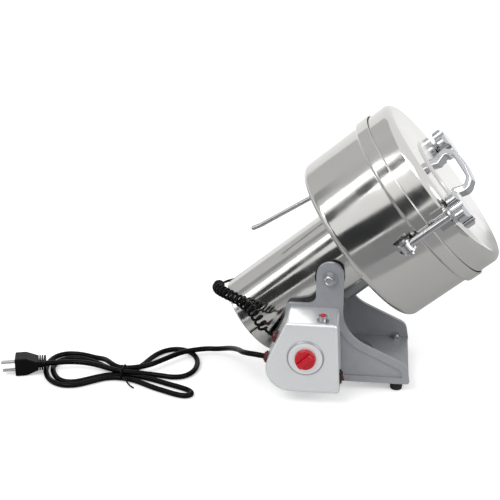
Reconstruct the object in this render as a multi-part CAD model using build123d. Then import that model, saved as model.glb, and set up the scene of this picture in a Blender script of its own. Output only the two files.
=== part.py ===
from build123d import *
from math import atan2, degrees, pi, radians, sin, sqrt, tan
import os

# A swing-type grain mill: a motor tube with a round steel grinding bowl on its end is hung between
# the cheeks of a cast base, and tilts about a level axis. Millimetres, +Z up, the operator's side
# is -Y. The origin is on the bench, under the middle of the mill without its cords.
# Pieces of the tilting head are drawn upright, about the head's own axis with the pivot at zero,
# and then leaned to the rest position.

# ---- stance -----------------------------------------------------------------------------------
pivot_x = -37.0            # pivot axis from the origin
pivot_height = 157.0
head_lean = 50.33          # the head's rest position, from upright, in degrees

# ---- base -------------------------------------------------------------------------------------
cheek_span = 140.0         # over the outer faces of the two cheeks
cheek_thickness = 6.0
cheek_recess = 2.0         # the outer face inside the rim is this much lower
rim_width = 9.0
base_bottom = 12.0
floor_thickness = 6.0
base_left = -69.0          # ends of the base, from the pivot
base_right = 109.0
shoulder_height = 119.7
shoulder_left = -55.0
arm_left = -17.0
arm_right = 18.5
arm_top = 178.0
arm_round = 17.4
shoulder_round = 11.0
sweep_low = 38.4           # height of the sloping edge at the right end
sweep_high = 79.1          # height of the same slope below the arm
sweep_round = 51.0
toe_round = 15.0
floor_hole_length = 122.0   # centred under the pivot, where the motor's tail swings through
floor_hole_width = 118.0
floor_hole_round = 46.0
toe_slant = 5.0            # the right end leans in by this much
panel_top = 104.0          # the recess stays below the arm

# ---- feet -------------------------------------------------------------------------------------
foot_radius = 9.0
foot_taper = 1.2
foot_inset_x = 17.5
foot_inset_y = 12.0
foot_screw_radius = 3.0
foot_nut_flats = 10.0
foot_nut_height = 5.0
foot_recess = 6.0

# ---- pivot ------------------------------------------------------------------------------------
hub_radius = 16.0
hub_reach = 60.4           # outer face of the hub on the motor tube, from the middle
hub_inner = 48.0
pivot_bolt_radius = 5.0
pivot_nut_flats = 15.0
pivot_nut_height = 8.5
pad_radius = 19.5
washer_radius = 9.5
washer_thickness = 1.6
running_gap = 0.2          # between faces that turn on each other
fit_gap = 0.08             # between a shaft and its bore

# ---- control box ------------------------------------------------------------------------------
box_front = -124.0
box_wall = 2.0
box_top = 116.0
box_bottom = 20.0
box_top_left = -50.3       # corners of its front, from the pivot
box_top_right = 13.8
box_bottom_left = -92.7
box_bottom_right = 19.3
box_belly_round = 31.0
box_corner_round = 5.0
box_edge_round = 3.5
dial_x = -25.2
dial_height = 69.1
dial_radius = 23.6
dial_thickness = 2.2
knob_radius = 13.6
knob_height = 10.5
knob_base = 5.0
grip_width = 7.0
timer_shaft_radius = 3.0
timer_size = 34.0
timer_depth = 22.0
reset_x = -5.0
reset_y = -113.0
reset_radius = 4.75
reset_height = 8.5
reset_travel = 2.0
reset_rim = 0.7
button_radius = 3.4
button_height = 3.0
button_proud = 1.2         # above the barrel at rest
stem_radius = 2.4
switch_y = -110.0
switch_height = 39.0
switch_length = 15.5       # up the wall
switch_width = 11.0
switch_rim = 2.5
rocker_length = 11.0
rocker_width = 7.2
rocker_gap = 0.35
rocker_lean = 10.0         # to either side of level
box_tab = 20.0
box_screw_radius = 2.0
gland_radius = 6.5
gland_length = 6.0
mains_gland_length = 5.0
head_gland_turn = 100.0    # about the head's axis
head_gland_height = -116.0
mains_gland_y = -100.0
mains_gland_height = 56.0
curly_gland_y = -95.0
curly_gland_height = 82.8

# ---- motor tube, along the head's axis from the pivot -------------------------------------------
tube_radius = 57.2
tube_wall = 1.5
tail_end = -137.75
cap_thickness = 6.0
seat_gap = 0.3             # between a piece and the bore that it sits in
shaft_radius = 6.0
blade_seat_radius = 5.0
bearing_radius = 16.0
bearing_width = 10.0
stator_low = -88.0
stator_high = -38.0
stator_bore = 30.6
air_gap = 0.6
armature_slot_count = 12
commutator_radius = 16.0
commutator_low = -112.0
commutator_high = -99.0
fan_low = 3.0
fan_high = 15.0
fan_radius = 42.0
fan_blade_count = 9
bulkhead_low = 33.0

# ---- bowl -------------------------------------------------------------------------------------
bowl_bottom = 44.25
bowl_radius = 120.8
bowl_wall = 2.0
bowl_round = 9.0
bowl_screw_circle = 42.0   # radius that the screws stand on
bowl_screw_turn = 45.0
bowl_screw_count = 4
bowl_screw_radius = 2.5
collar_step = 4.2
collar_radius = bowl_radius + collar_step
collar_low = 134.0
collar_top = 152.1
collar_round = 2.5

# ---- beaters ----------------------------------------------------------------------------------
beater_low = 54.0
beater_thickness = 8.0
beater_reach = 106.0
beater_width = 27.0
cutter_thickness = 3.0
cutter_reach = 98.0
cutter_width = 20.0
spacer_height = 12.0
spacer_radius = 10.0
beater_turn = 60.0         # each layer stands this far round from the one below
nut_flats = 17.0
nut_height = 9.0

# ---- lid --------------------------------------------------------------------------------------
lid_gap = 1.2               # between the lid's skirt and the collar
lid_radius = collar_radius - bowl_wall - lid_gap
lid_wall = 2.0
lid_top = 184.0
lid_round = 10.0
lid_step_radius = 57.0
lid_step = 2.5
seal_height = 2.0
seal_gap = 0.2

# ---- clamps -----------------------------------------------------------------------------------
clamp_stand_off = 6.0
clamp_radius = collar_radius + clamp_stand_off    # the swing bolts' distance from the head's axis
clamp_bearing = -88.0      # near clamp's direction about the head's axis
clamp_bolt_radius = 4.5
hinge_drop = 18.0
hinge_height = collar_low - hinge_drop
hinge_pin_radius = 3.0
eye_radius = 7.8
eye_width = 10.0
lug_plate = 3.0
lug_base = 2.0
lug_height = 26.0
ear_width = 26.0
ear_thickness = 3.0
ear_drop = 6.5
ear_low = lid_top - ear_drop
ear_leg = 20.0
ear_overhang = 6.5
ear_reach = clamp_radius + ear_overhang
ear_slot = 9.8
clamp_washer_radius = 11.0
clamp_washer_thickness = 2.5
star_radius = 24.0
star_height = 15.0
star_hub_radius = 13.0
star_hub_height = 3.6
star_lobe_count = 5
star_lobe_radius = 8.0
bolt_engagement = 11.0

# ---- lid handle -------------------------------------------------------------------------------
handle_turn = -42.0        # about the head's axis
handle_foot = 31.0         # half length at the feet
handle_belly = 35.0        # half length at the widest
handle_shoulder = 24.0
handle_rise = 30.5
handle_crown = 3.5         # the grip's middle stands above its shoulders
handle_thickness = 8.5
handle_width = 17.0
handle_screw_radius = 2.5

# ---- swing handle -----------------------------------------------------------------------------
lever_radius = 3.0
lever_points = [(-83.2, 44.0), (-95.6, -46.0), (-99.2, -60.0)]

# ---- cords: chosen points, from the pivot axis in X, the middle in Y and the bench in Z -----------
mains_radius = 3.6
mains_points = [
    (-99.0, -96.3, 58.0), (-107.0, -88.5, 55.5), (-113.5, -76.0, 51.5), (-119.0, -57.0, 43.5),
    (-127.5, -36.0, 33.0), (-136.5, -17.0, 23.5), (-147.0, -3.6, 15.5), (-159.0, 3.0, 10.0),
]
mains_end = (-186.0, -0.7, 8.0)
mains_heading = 199.5      # the way the cord runs into its hank, in degrees
end_run = 14.0
curly_radius = 6.7
curly_points = [
    (-90.0, -82.0, 101.0), (-104.0, -68.0, 110.0), (-122.0, -52.0, 114.5),
    (-139.5, -36.5, 115.0), (-152.0, -18.0, 112.0), (-157.0, 2.0, 108.0),
]
curly_end = (-155.0, 20.0, 104.0)
lead_radius = 1.8
lead_points = [(-146.0, 46.0, 100.0), (-130.0, 66.0, 97.0), (-112.0, 76.0, 95.0)]
hank_low = 0.6
hank_height = 13.8
hank_upper = [
    (-205, 22, 14), (-246, 6, 22), (-267, -60, 7), (-285, -60, 7), (-302, -42, 16), (-336, -20, 25), (-372, -14, 22),
]
hank_lower = [
    (-348, -124, 22), (-312, -108, 18), (-285, -90, 7), (-267, -90, 7), (-240, -102, 16), (-206, -118, 26),
    (-172, -128, 6), (-168, -114, 6), (-186, -92, 8),
]
waist = (-276.0, -75.0)
waist_width = 30.0
tie_width = 9.0
tie_thickness = 1.2

# ---- mains plug -------------------------------------------------------------------------------
plug_end = (-383.7, -72.8)  # where its neck meets the hank
plug_turn = 196.0          # the way its blades point, in degrees
plug_length = 30.0
plug_neck = 11.0
plug_width = 25.0
plug_height = 25.0
blade_length = 17.0
blade_width = 6.35
blade_thickness = 1.5
blade_spacing = 12.7
ground_offset = 11.9
ground_radius = 2.4
ground_root_radius = 1.9
blade_root = 6.0           # buried in the body
ground_length = 20.0

nodes = {}


def keep(name, shape):
    """Store a finished node; parts made of several solids stay separate solids."""
    nodes[name] = shape


def upright_rod(radius, low, high):
    return Pos(0, 0, low) * Cylinder(radius, high - low, align=(Align.CENTER, Align.CENTER, Align.MIN))


def upright_tube(outer, inner, low, high):
    return upright_rod(outer, low, high) - upright_rod(inner, low - 1, high + 1)


def rod_between(radius, start, end):
    """A round rod from one point to another."""
    start = Vector(*start)
    end = Vector(*end)
    place = Plane(origin=start, z_dir=end - start)
    return place * upright_rod(radius, 0, (end - start).length)


def rounded_face(*corners):
    """A face in XY with corners (x, y) or (x, y, radius), drawn from lines and tangent arcs."""
    spots = [Vector(c[0], c[1]) for c in corners]
    entries = []
    exits = []
    edges = []
    for i, corner in enumerate(corners):
        here = spots[i]
        back = (spots[i - 1] - here).normalized()
        ahead = (spots[(i + 1) % len(spots)] - here).normalized()
        radius = corner[2] if len(corner) > 2 else 0
        if not radius:
            entries.append(here)
            exits.append(here)
            continue
        half = radians(back.get_angle(ahead)) / 2
        middle = (back + ahead).normalized()
        entries.append(here + back * (radius / tan(half)))
        exits.append(here + ahead * (radius / tan(half)))
        crown = here + middle * (radius / sin(half) - radius)
        edges.append(Edge.make_three_point_arc(entries[-1], crown, exits[-1]))
    for i, start in enumerate(exits):
        end = entries[(i + 1) % len(entries)]
        if (end - start).length > 0.001:
            edges.append(Edge.make_line(start, end))
    return make_face(edges)


def turned(*corners):
    """A solid turned about Z from its half section, given as (radius, height) corners."""
    return revolve(Plane.XZ * rounded_face(*corners), Axis.Z)


def side_slab(face, near, far):
    """A face drawn in X and height, made solid from y = near to y = far."""
    return Pos(0, near, 0) * extrude(Plane.XZ * face, amount=-(far - near))


def around(count, shape, start=0.0):
    return [Rot(0, 0, start + 360.0 * i / count) * shape for i in range(count)]


def hexagon(flats):
    return RegularPolygon(flats / 2, 6, major_radius=False)


def on_stand(shape):
    """From the pivot's own X to the finished frame."""
    return Pos(pivot_x, 0, 0) * shape


def on_head(shape):
    """From the upright head to its rest position on the pivot."""
    return Pos(pivot_x, 0, pivot_height) * Rot(0, head_lean, 0) * shape


def solids_of(shape):
    return Compound(children=list(shape.solids()))


def volume_of(shape):
    return sum(s.volume for s in shape.solids())


# ---- base -------------------------------------------------------------------------------------
cheek_outer = cheek_span / 2
cheek_inner = cheek_outer - cheek_thickness
floor_top = base_bottom + floor_thickness


def cheek_outline():
    return rounded_face(
        (base_left, base_bottom, 4),
        (base_right, base_bottom, 4),
        (base_right - toe_slant, sweep_low, toe_round),
        (arm_right, sweep_high, sweep_round),
        (arm_right, arm_top, arm_round),
        (arm_left, arm_top, arm_round),
        (arm_left, shoulder_height, shoulder_round),
        (shoulder_left, shoulder_height, 6),
    )


def foot_places():
    """Feet as (x, y) from the pivot."""
    left = base_left + foot_inset_x
    right = base_right - foot_inset_x
    side = cheek_outer - foot_inset_y
    return [(x, y) for x in (left, right) for y in (-side, side)]


def base_frame():
    outline = cheek_outline()
    panel = offset(outline, amount=-rim_width)
    panel &= Pos(0, panel_top - 500) * Rectangle(1000, 1000)
    slab = side_slab(outline, cheek_inner, cheek_outer)
    slab -= side_slab(panel, cheek_outer - cheek_recess, cheek_outer + 1)
    seat = Pos(0, cheek_outer - cheek_thickness, pivot_height) * Rot(-90, 0, 0)
    slab -= seat * upright_rod(pivot_bolt_radius + fit_gap, -1, cheek_thickness + 1)
    floor_right = base_right - toe_slant / 3
    floor_face = Rectangle(floor_right - base_left, cheek_span - 2 * cheek_recess)
    hole = RectangleRounded(floor_hole_length, floor_hole_width, floor_hole_round)
    middle = (base_left + floor_right) / 2
    floor = Pos(middle, 0, base_bottom) * extrude(floor_face, amount=floor_thickness)
    floor -= Pos(0, 0, base_bottom - 1) * extrude(hole, amount=floor_thickness + 2)
    frame = slab + mirror(slab, about=Plane.XZ) + floor
    for x, z in box_screw_places():
        frame -= Pos(x, -cheek_outer - 1, z) * Rot(-90, 0, 0) * upright_rod(box_screw_radius, 0, cheek_thickness + 2)
    for x, y in foot_places():
        frame -= Pos(x, y, 0) * upright_rod(foot_screw_radius + fit_gap, base_bottom - 1, floor_top + 1)
    return frame


def rubber_feet():
    profile = turned(
        (foot_screw_radius + fit_gap, foot_recess),
        (foot_screw_radius + fit_gap, base_bottom),
        (foot_radius, base_bottom),
        (foot_radius - foot_taper, 0, 1.2),
        (foot_nut_flats / 2 + 1.4, 0),
        (foot_nut_flats / 2 + 1.4, foot_recess),
    )
    return [Pos(x, y, 0) * profile for x, y in foot_places()]


def foot_screws():
    head = upright_rod(foot_nut_flats / 2 + 0.6, foot_recess - 4, foot_recess)
    shank = upright_rod(foot_screw_radius, foot_recess, floor_top + foot_nut_height + 2)
    nut = Pos(0, 0, floor_top) * extrude(hexagon(foot_nut_flats), amount=foot_nut_height)
    screw = head + shank + nut
    return [Pos(x, y, 0) * screw for x, y in foot_places()]


# ---- control box ------------------------------------------------------------------------------
side_lean = degrees(atan2(box_bottom_right - box_top_right, box_top - box_bottom))


def side_x(height):
    """Where the box's right side stands at a height."""
    share = (box_top - height) / (box_top - box_bottom)
    return box_top_right + share * (box_bottom_right - box_top_right)


def slope_x(height):
    """Where the box's sloping left side stands at a height."""
    share = (box_top - height) / (box_top - box_bottom)
    return box_top_left + share * (box_bottom_left - box_top_left)


slope_angle = degrees(atan2(box_top_left - box_bottom_left, box_top - box_bottom))
belly_x = box_bottom_left + box_belly_round / tan(radians(90 - slope_angle) / 2)


def belly_side(height):
    """Where the round lower left corner stands at a height."""
    return belly_x - sqrt(box_belly_round**2 - (box_bottom + box_belly_round - height) ** 2)


def box_outline():
    return rounded_face(
        (box_top_left, box_top, box_corner_round),
        (box_bottom_left, box_bottom, box_belly_round),
        (box_bottom_right, box_bottom, box_corner_round),
        (box_top_right, box_top, box_corner_round),
    )


def front_place(x, height, y):
    """A place on the box's front with its own Z pointing at the operator."""
    return Pos(x, y, height) * Rot(90, 0, 0)


def switch_place():
    """A place on the box's right side with X pointing out of it."""
    return Pos(side_x(switch_height), switch_y, switch_height) * Rot(0, -side_lean, 0)


def curly_gland_place():
    return Pos(slope_x(curly_gland_height), curly_gland_y, curly_gland_height) * Rot(0, slope_angle, 0)


def mains_gland_place():
    lean = degrees(atan2(mains_gland_height - box_bottom - box_belly_round,
                         belly_x - belly_side(mains_gland_height)))
    return Pos(belly_side(mains_gland_height), mains_gland_y, mains_gland_height) * Rot(0, lean, 0)


def box_screw_places():
    return [(box_top_left + 14, box_top - 9), (box_top_right - 9, box_top - 9),
            (box_bottom_right - 11, box_bottom + 10), (belly_x, box_bottom + 10)]


def control_box():
    outline = box_outline()
    block = side_slab(outline, box_front, -cheek_outer)
    front_edges = block.faces().sort_by(Axis.Y)[0].edges()
    block = fillet(front_edges, box_edge_round)
    block -= side_slab(offset(outline, amount=-box_wall), box_front + box_wall, -cheek_outer + 1)
    slice_at_back = side_slab(outline, -cheek_outer - box_wall, -cheek_outer)
    for x, z in box_screw_places():
        block += slice_at_back & Pos(x, -cheek_outer, z) * Box(box_tab, 20, box_tab)
        block -= Pos(x, -cheek_outer - 5, z) * Rot(-90, 0, 0) * upright_rod(box_screw_radius, 0, 6)
    bushing = front_place(dial_x, dial_height, box_front)
    block -= bushing * upright_rod(timer_shaft_radius + 2 + fit_gap, -2 * box_wall, box_wall)
    block -= Pos(reset_x, reset_y, 0) * upright_rod(reset_radius + fit_gap, box_top - 5, box_top + 5)
    block -= switch_place() * Box(4 * box_wall, switch_width - 2.6, switch_length - 2.6)
    block -= outward(curly_gland_place()) * upright_rod(gland_radius - 2, -8, 8)
    block -= outward(mains_gland_place()) * upright_rod(gland_radius - 2, -8, 8)
    return block


def box_screws():
    """Pan-head screws through the box's inner tabs into the cheek."""
    reach = box_wall + cheek_thickness
    screw = upright_rod(box_screw_radius, 0, reach) + upright_rod(3.6, -2.2, 0)
    seat = -cheek_outer - box_wall
    return [Pos(x, seat, z) * Rot(-90, 0, 0) * screw for x, z in box_screw_places()]


def dial_plate():
    disc = upright_rod(dial_radius, 0, dial_thickness)
    disc = chamfer(disc.faces().sort_by(Axis.Z)[-1].edges(), dial_thickness * 0.6)
    disc -= upright_rod(timer_shaft_radius + 2 + fit_gap, -1, dial_thickness + 1)
    return front_place(dial_x, dial_height, box_front) * disc


def timer_mechanism():
    size = timer_size
    back = -box_wall - timer_depth
    body = Pos(0, 0, back) * Box(size, size, timer_depth, align=(Align.CENTER, Align.CENTER, Align.MIN))
    body += upright_rod(timer_shaft_radius + 2, -box_wall - 1, dial_thickness + 1)
    body -= upright_rod(timer_shaft_radius + fit_gap, back / 2, 10)
    return front_place(dial_x, dial_height, box_front) * body


knob_seat = dial_thickness + 1 + running_gap


def timer_shaft():
    shaft = upright_rod(timer_shaft_radius, -(box_wall + timer_depth) / 2 + running_gap, knob_seat + knob_height - 3)
    return front_place(dial_x, dial_height, box_front) * shaft


def timer_knob():
    skirt = Cone(knob_radius, knob_radius - 0.8, knob_base, align=(Align.CENTER, Align.CENTER, Align.MIN))
    skirt = fillet(skirt.faces().sort_by(Axis.Z)[-1].edges(), 1.0)
    grip = Box(2 * knob_radius, grip_width, knob_height, align=(Align.CENTER, Align.CENTER, Align.MIN))
    grip &= upright_rod(knob_radius - 2.2, 0, knob_height)
    grip = fillet(grip.faces().sort_by(Axis.Z)[-1].edges(), 1.4)
    knob = skirt + Rot(0, 0, 45) * grip
    knob -= upright_rod(timer_shaft_radius, -1, knob_height - 3)
    return front_place(dial_x, dial_height, box_front) * Pos(0, 0, knob_seat) * knob


def reset_breaker():
    top = box_top + reset_height
    barrel = upright_rod(reset_radius, box_top - box_wall - 2, top)
    collar = Pos(0, 0, box_top) * extrude(hexagon(2 * reset_radius + 4), amount=2.4)
    body_top = box_top - box_wall
    body = Pos(0, 0, body_top - 20) * Box(14, 12, 20, align=(Align.CENTER, Align.CENTER, Align.MIN))
    rim = upright_rod(reset_radius + reset_rim, top - 2.6, top)
    well = upright_rod(button_radius + fit_gap, top + button_proud - button_height - reset_travel - 0.2, top + 1)
    whole = barrel + collar + body + rim - well - upright_rod(stem_radius + fit_gap, box_top - 14, top + 1)
    return Pos(reset_x, reset_y, 0) * whole


def reset_button():
    top = box_top + reset_height
    cap_low = top + button_proud - button_height
    stem = upright_rod(stem_radius, box_top - 14 + reset_travel + 0.5, cap_low + 0.1)
    cap = upright_rod(button_radius, cap_low, cap_low + button_height)
    cap = fillet(cap.faces().sort_by(Axis.Z)[-1].edges(), 0.8)
    return Pos(reset_x, reset_y, 0) * (stem + cap)


def switch_bezel():
    front = Box(switch_rim, switch_width, switch_length, align=(Align.MIN, Align.CENTER, Align.CENTER))
    front = chamfer(front.faces().sort_by(Axis.X)[-1].edges(), 0.8)
    back = Box(12, switch_width - 3, switch_length - 3, align=(Align.MAX, Align.CENTER, Align.CENTER))
    pocket = Pos(switch_rim, 0, 0) * Box(
        8, rocker_width + 2 * rocker_gap, rocker_length + 1.2, align=(Align.MAX, Align.CENTER, Align.CENTER)
    )
    axle = Rot(90, 0, 0) * Cylinder(0.8 + fit_gap, rocker_width + 1.2)
    return switch_place() * (front + back - pocket - axle)


def rocker():
    half = rocker_length / 2
    face = rounded_face((-2.6, -half + 1.6), (5.2, -half, 0.7), (3.8, 0, 12), (5.2, half, 0.7), (-2.6, half - 1.6))
    blade = side_slab(face, -rocker_width / 2, rocker_width / 2)
    axle = Rot(90, 0, 0) * Cylinder(0.8, rocker_width + 1.0)
    return switch_place() * Rot(0, -rocker_lean, 0) * (blade + axle)


def gland(length):
    """A moulded strain relief along +Z, with its seat at zero."""
    seat_radius = gland_radius - 2 - fit_gap
    return turned(
        (0, -4), (seat_radius, -4), (seat_radius, 0), (gland_radius + 1.5, 0), (gland_radius + 1.5, 2.5, 0.8),
        (gland_radius, 3.2), (gland_radius - 1.5, length, 0.8), (0, length),
    )


def outward(place):
    """A gland's place on the box, with Z pointing out of the wall."""
    return place * Rot(0, -90, 0)


def mains_gland():
    return outward(mains_gland_place()) * gland(mains_gland_length)


def curly_gland():
    return outward(curly_gland_place()) * gland(gland_length)


# ---- pivot ------------------------------------------------------------------------------------
def both_sides(shape):
    """A piece on the +Y side of the pivot, drawn along +Z from the middle, and its twin."""
    far = Rot(-90, 0, 0) * shape
    near = Rot(90, 0, 0) * shape
    return [near, far]


def pivot_bolts():
    reach = cheek_outer + running_gap + washer_thickness
    nut = Pos(0, 0, reach) * extrude(hexagon(pivot_nut_flats), amount=pivot_nut_height * 0.6)
    dome = Pos(0, 0, reach + pivot_nut_height * 0.6) * upright_rod(pivot_nut_flats * 0.44, 0, pivot_nut_height * 0.4)
    dome = fillet(dome.faces().sort_by(Axis.Z)[-1].edges(), pivot_nut_height * 0.36)
    bolt = upright_rod(pivot_bolt_radius, hub_inner - 3, reach) + nut + dome
    return both_sides(bolt)


def pivot_washers():
    low = cheek_outer + running_gap / 2
    return both_sides(upright_tube(washer_radius, pivot_bolt_radius + fit_gap, low, low + washer_thickness))


def friction_pads():
    low = hub_reach + running_gap
    return both_sides(upright_tube(pad_radius, pivot_bolt_radius + 0.6, low, cheek_inner))


# ---- motor ------------------------------------------------------------------------------------
tube_inner = tube_radius - tube_wall


def motor_tube():
    body = upright_tube(tube_radius, tube_inner, tail_end + cap_thickness, bowl_bottom)
    for hub in both_sides(upright_rod(hub_radius, hub_inner, hub_reach)):
        body += hub
    for bore in both_sides(upright_rod(pivot_bolt_radius, hub_inner - 1, hub_reach + 1)):
        body -= bore
    body -= head_gland_place() * upright_rod(gland_radius - 2, -8, 8)
    return body


def end_cap():
    cap = turned(
        (0, tail_end), (tube_radius, tail_end, 2.2), (tube_radius, tail_end + cap_thickness),
        (tube_inner - seat_gap, tail_end + cap_thickness), (tube_inner - seat_gap, tail_end + cap_thickness + 5),
        (tube_inner - 4, tail_end + cap_thickness + 5), (tube_inner - 4, tail_end + 3), (0, tail_end + 3),
    )
    slot = Pos(29, 0, tail_end - 1) * extrude(SlotOverall(18, 4), amount=6)
    for vent in around(12, slot):
        cap -= vent
    for hole in around(3, Pos(47, 0, 0) * upright_rod(2.1, tail_end - 1, tail_end + 6), 15):
        cap -= hole
    return cap


def end_cap_screws():
    screw = upright_rod(2.0, tail_end, tail_end + 14)
    head = upright_rod(3.8, tail_end - 2.2, tail_end)
    head = fillet(head.faces().sort_by(Axis.Z)[0].edges(), 1.2)
    return around(3, Pos(47, 0, 0) * (screw + head), 15)


def bearing(low):
    return upright_tube(bearing_radius, shaft_radius, low, low + bearing_width)


lower_bearing_low = -126.0
upper_bearing_low = bulkhead_low


def brush_bracket():
    low = lower_bearing_low - 2
    high = lower_bearing_low + bearing_width
    ring = upright_tube(tube_inner - seat_gap, tube_inner - 5, low + 2, low + 7)
    hub = upright_tube(bearing_radius + 4, bearing_radius, low, high)
    spoke = Pos(0, 0, low + 3) * Box(tube_inner - seat_gap - 1, 9, 4, align=(Align.MIN, Align.CENTER, Align.MIN))
    spoke -= upright_rod(bearing_radius + 1, low, high)
    bracket = ring + hub
    for arm in around(3, spoke, 15):
        bracket += arm
    for hole in around(3, Pos(47, 0, 0) * upright_rod(2.0, low - 1, tail_end + 14.3), 15):
        bracket -= hole
    return bracket


def stator_core():
    core = upright_tube(tube_inner - seat_gap, stator_bore, stator_low, stator_high)
    for window in (0, 180):
        pocket = Rot(0, 0, window) * (Pos(stator_bore - 2, 0, (stator_low + stator_high) / 2) * Box(
            16, 34, stator_high - stator_low + 2, align=(Align.MIN, Align.CENTER, Align.CENTER)))
        core -= pocket
    return core


def field_windings():
    """One coil in each window of the stator, with its end turns standing proud."""
    coil = Pos(stator_bore + 2, 0, (stator_low + stator_high) / 2) * Box(
        11.7, 33.4, stator_high - stator_low + 20, align=(Align.MIN, Align.CENTER, Align.CENTER))
    coil = fillet(coil.edges().filter_by(Axis.X), 6)
    return [coil, Rot(0, 0, 180) * coil]


def brush_places():
    return [0, 180]


def brush_holders():
    height = (commutator_low + commutator_high) / 2
    sleeve = Box(24, 12, 11, align=(Align.MIN, Align.CENTER, Align.CENTER))
    sleeve -= Pos(-1, 0, 0) * Box(26, 8, 7, align=(Align.MIN, Align.CENTER, Align.CENTER))
    holder = Pos(commutator_radius + 3, 0, height) * sleeve
    foot = Pos(commutator_radius + 12, 0, lower_bearing_low + 8) * Box(
        9, 12, height - 5.5 - lower_bearing_low - 8, align=(Align.CENTER, Align.CENTER, Align.MIN))
    return [Rot(0, 0, turn) * (holder + foot) for turn in brush_places()]


def carbon_brushes():
    height = (commutator_low + commutator_high) / 2
    brush = Pos(commutator_radius + seat_gap, 0, height) * Box(
        17, 7.6, 6.6, align=(Align.MIN, Align.CENTER, Align.CENTER))
    return [Rot(0, 0, turn) * brush for turn in brush_places()]


def motor_bulkhead():
    plate = upright_rod(tube_inner - seat_gap, bowl_bottom - 8, bowl_bottom)
    plate += upright_rod(bearing_radius + 5, upper_bearing_low, bowl_bottom - 8)
    plate -= upright_rod(bearing_radius, upper_bearing_low - 1, upper_bearing_low + bearing_width)
    plate -= upright_rod(shaft_radius + 1, upper_bearing_low, bowl_bottom + 1)
    for hole in around(4, Pos(42, 0, 0) * upright_rod(2.5, bowl_bottom - 9, bowl_bottom + 1), 45):
        plate -= hole
    return plate


def motor_bearings():
    return [bearing(lower_bearing_low), bearing(upper_bearing_low)]


def head_gland_place():
    """A seat on the tube's far side near the tail, with Z pointing out of the tube."""
    return Rot(0, 0, head_gland_turn) * Pos(tube_radius, 0, head_gland_height) * Rot(0, 90, 0)


def head_gland():
    return head_gland_place() * gland(gland_length)


# ---- rotor ------------------------------------------------------------------------------------
beater_high = beater_low + beater_thickness
middle_cutter_low = beater_high + spacer_height
top_cutter_low = middle_cutter_low + cutter_thickness + spacer_height
nut_low = top_cutter_low + cutter_thickness


def rotor_shaft():
    shaft = upright_rod(shaft_radius, lower_bearing_low, beater_low)
    return shaft + upright_rod(blade_seat_radius, beater_low, nut_low + nut_height + 2)


def armature():
    radius = stator_bore - air_gap
    core = upright_rod(radius, stator_low, stator_high)
    slot = Pos(radius, 0, stator_low - 1) * Box(
        9, 2.4, stator_high - stator_low + 2, align=(Align.CENTER, Align.CENTER, Align.MIN))
    for cut in around(armature_slot_count, slot):
        core -= cut
    ends = turned((shaft_radius, stator_low - 9), (radius - 6, stator_low - 9, 5),
                  (radius - 6, stator_high + 9, 5), (shaft_radius, stator_high + 9))
    return core + ends - upright_rod(shaft_radius, stator_low - 10, stator_high + 10)


def commutator():
    return upright_tube(commutator_radius, shaft_radius, commutator_low, commutator_high)


def cooling_fan():
    hub = upright_rod(12, fan_low, fan_high) + upright_rod(fan_radius, fan_low, fan_low + 2)
    blade = Pos(11, 0, fan_low + 1) * Box(
        fan_radius - 12, 1.8, fan_high - fan_low - 1, align=(Align.MIN, Align.CENTER, Align.MIN))
    fan = hub
    for piece in around(fan_blade_count, blade):
        fan += piece
    return fan - upright_rod(shaft_radius, fan_low - 1, fan_high + 1)


def beater_bar(reach, width, thickness, low, edge):
    """A two-ended bar with its corners swept back and its leading edges ground to a bevel."""
    half = width / 2
    face = rounded_face(
        (-reach, -half * 0.55, 2), (-reach * 0.2, -half, 20), (reach * 0.2, -half, 20), (reach, -half * 0.2, 2),
        (reach, half * 0.55, 2), (reach * 0.2, half, 20), (-reach * 0.2, half, 20), (-reach, half * 0.2, 2),
    )
    bar = extrude(face, amount=thickness)
    cut = Pos(reach * 0.62, -half, thickness) * Rot(-35, 0, 0) * Box(reach * 0.9, width * 0.5, edge * 2)
    bar -= cut
    bar -= Rot(0, 0, 180) * cut
    return Pos(0, 0, low) * (bar - upright_rod(blade_seat_radius, -1, thickness + 1))


def beater():
    return beater_bar(beater_reach, beater_width, beater_thickness, beater_low, 3.5)


def middle_cutter():
    return Rot(0, 0, beater_turn) * beater_bar(
        cutter_reach, cutter_width, cutter_thickness, middle_cutter_low, 1.4)


def top_cutter():
    return Rot(0, 0, 2 * beater_turn) * beater_bar(
        cutter_reach * 0.86, cutter_width, cutter_thickness, top_cutter_low, 1.4)


def blade_spacers():
    low = upright_tube(spacer_radius, blade_seat_radius, beater_high, middle_cutter_low)
    high = upright_tube(spacer_radius, blade_seat_radius, middle_cutter_low + cutter_thickness, top_cutter_low)
    return [low, high]


def blade_nut():
    nut = Pos(0, 0, nut_low) * extrude(hexagon(nut_flats), amount=nut_height)
    nut &= turned((0, nut_low), (nut_flats * 0.62, nut_low), (nut_flats * 0.62, nut_low + nut_height - 2),
                  (nut_flats * 0.48, nut_low + nut_height), (0, nut_low + nut_height))
    return nut - upright_rod(blade_seat_radius, nut_low - 1, nut_low + nut_height + 1)


# ---- bowl -------------------------------------------------------------------------------------
bowl_inner = bowl_radius - bowl_wall
collar_inner = collar_radius - bowl_wall
ledge_top = collar_low + bowl_wall


def bowl():
    shell = turned(
        (shaft_radius + 2, bowl_bottom), (bowl_radius, bowl_bottom, bowl_round), (bowl_radius, collar_low - 1, 2),
        (collar_radius, collar_low + 1, collar_round), (collar_radius, collar_top, 0.8),
        (collar_inner, collar_top, 0.8), (collar_inner, ledge_top, 1),
        (bowl_inner, ledge_top, 1), (bowl_inner, bowl_bottom + bowl_wall, bowl_round - bowl_wall),
        (shaft_radius + 2, bowl_bottom + bowl_wall),
    )
    hole = Pos(bowl_screw_circle, 0, 0) * upright_rod(bowl_screw_radius + 0.1, bowl_bottom - 1, bowl_bottom + 5)
    for hole in around(bowl_screw_count, hole, bowl_screw_turn):
        shell -= hole
    return shell


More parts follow.
